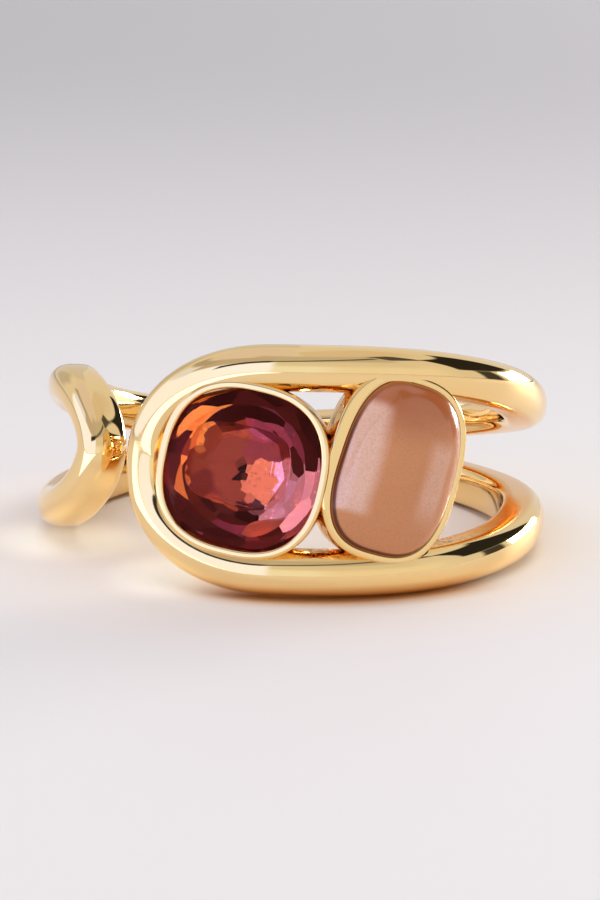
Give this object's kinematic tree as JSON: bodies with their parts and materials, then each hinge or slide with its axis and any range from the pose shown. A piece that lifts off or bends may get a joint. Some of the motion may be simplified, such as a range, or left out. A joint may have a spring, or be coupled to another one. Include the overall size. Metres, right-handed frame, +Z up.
{
  "type": "wrap ring",
  "caption": "Open wrap ring of domed gold wire: wide front loop holds a faceted cushion stone and a tall cabochon in rimmed cups, and a smaller rounded end wraps round beside it.",
  "frame": {"origin": "on the surface the ring lies on, below the middle of its outside size", "axes": "+Z up from the surface, about along the finger hole, -Y towards the two stones at the front, +X to the right as seen from the front"},
  "size_m": [0.0212, 0.0218, 0.01],
  "materials": {
    "polished_gold": "mirror polished warm yellow gold",
    "garnet_glass": "faceted, clear dark garnet red",
    "peach_glass": "smooth polished dome, milky peach brown"
  },
  "bodies": {
    "root": {"band": "polished_gold", "faceted_stone": "garnet_glass", "cabochon_stone": "peach_glass"}
  },
  "joints": []
}
